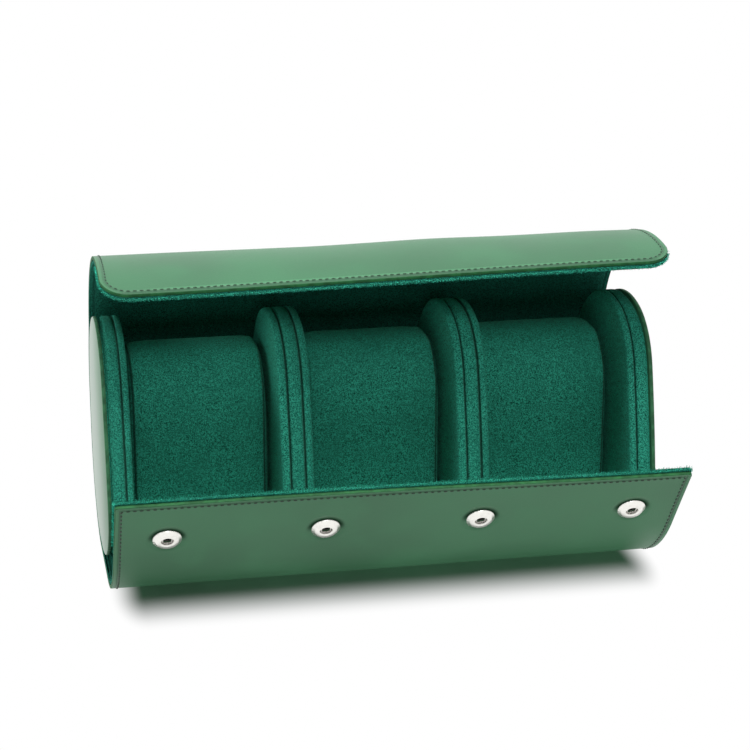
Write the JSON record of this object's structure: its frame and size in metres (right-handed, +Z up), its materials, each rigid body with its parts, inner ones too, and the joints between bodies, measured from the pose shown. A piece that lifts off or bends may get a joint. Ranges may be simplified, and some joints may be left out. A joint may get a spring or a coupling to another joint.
{
  "type": "watch travel case",
  "caption": "Roll-shaped case with a bent leather wrap for lid and front flap, rounded end panels, dividers, lift-out cushions and ring snaps.",
  "frame": {"origin": "on the table, under the middle of the flat area of the wrap that never moves", "axes": "+X along the case to its right end, +Y from the front opening to the back, +Z up"},
  "size_m": [0.24, 0.1481, 0.1432],
  "materials": {
    "green_leather": "smooth coated leather with a low sheen",
    "teal_suede": "short velvety nap",
    "stiff_board": "dense grey-brown board, hidden",
    "soft_foam": "open foam, hidden",
    "nickel": "bright nickel plate, lightly worn"
  },
  "bodies": {
    "case": {"wrap_leather": "green_leather", "wrap_board": "stiff_board", "wrap_lining": "teal_suede", "end_leather_left": "green_leather", "end_board_left": "stiff_board", "end_band_left": "teal_suede", "end_lining_left": "teal_suede", "divider_board_left": "stiff_board", "divider_band_left": "teal_suede", "divider_cheeks_left": "teal_suede", "end_leather_right": "green_leather", "end_board_right": "stiff_board", "end_band_right": "teal_suede", "end_lining_right": "teal_suede", "divider_board_right": "stiff_board", "divider_band_right": "teal_suede", "divider_cheeks_right": "teal_suede"},
    "lid_rear": {"lid_rear_leather": "green_leather", "lid_rear_board": "stiff_board", "lid_rear_lining": "teal_suede"},
    "lid_front": {"lid_front_leather": "green_leather", "lid_front_board": "stiff_board", "lid_front_lining": "teal_suede", "snap_studs": "nickel", "snap_stud_posts": "nickel"},
    "flap_foot": {"flap_foot_leather": "green_leather", "flap_foot_board": "stiff_board", "flap_foot_lining": "teal_suede"},
    "front_flap": {"front_flap_leather": "green_leather", "front_flap_board": "stiff_board", "front_flap_lining": "teal_suede", "snap_sockets": "nickel", "snap_springs": "nickel", "snap_socket_posts": "nickel"},
    "cushion_left": {"cushion_cover_left": "teal_suede", "cushion_core_left": "soft_foam"},
    "cushion_centre": {"cushion_cover_centre": "teal_suede", "cushion_core_centre": "soft_foam"},
    "cushion_right": {"cushion_cover_right": "teal_suede", "cushion_core_right": "soft_foam"}
  },
  "joints": [
    {"name": "lid_back_fold", "type": "hinge", "parent": "case", "child": "lid_rear", "pos_m": [0, 0.03724, 0.09359], "axis": [-1, 0, 0], "range_deg": [-19.5, 40]},
    {"name": "lid_front_fold", "type": "hinge", "parent": "lid_rear", "child": "lid_front", "pos_m": [0, 0.01695, 0.12377], "axis": [-1, 0, 0], "range_deg": [-19.5, 40]},
    {"name": "foot_fold", "type": "hinge", "parent": "case", "child": "flap_foot", "pos_m": [0, -0.011, 0.0017], "axis": [1, 0, 0], "range_deg": [-19, 0]},
    {"name": "flap_fold", "type": "hinge", "parent": "flap_foot", "child": "front_flap", "pos_m": [0, -0.05586, 0.0106], "axis": [1, 0, 0], "range_deg": [-24, 45]},
    {"name": "cushion_slide_left", "type": "slide", "parent": "case", "child": "cushion_left", "axis": [0, -0.766, 0.6428], "range_m": [0, 0.06]},
    {"name": "cushion_slide_centre", "type": "slide", "parent": "case", "child": "cushion_centre", "axis": [0, -0.766, 0.6428], "range_m": [0, 0.06]},
    {"name": "cushion_slide_right", "type": "slide", "parent": "case", "child": "cushion_right", "axis": [0, -0.766, 0.6428], "range_m": [0, 0.06]}
  ],
  "couplings": [
    {"joint": "lid_front_fold", "follows": "lid_back_fold", "ratio": 1}
  ]
}
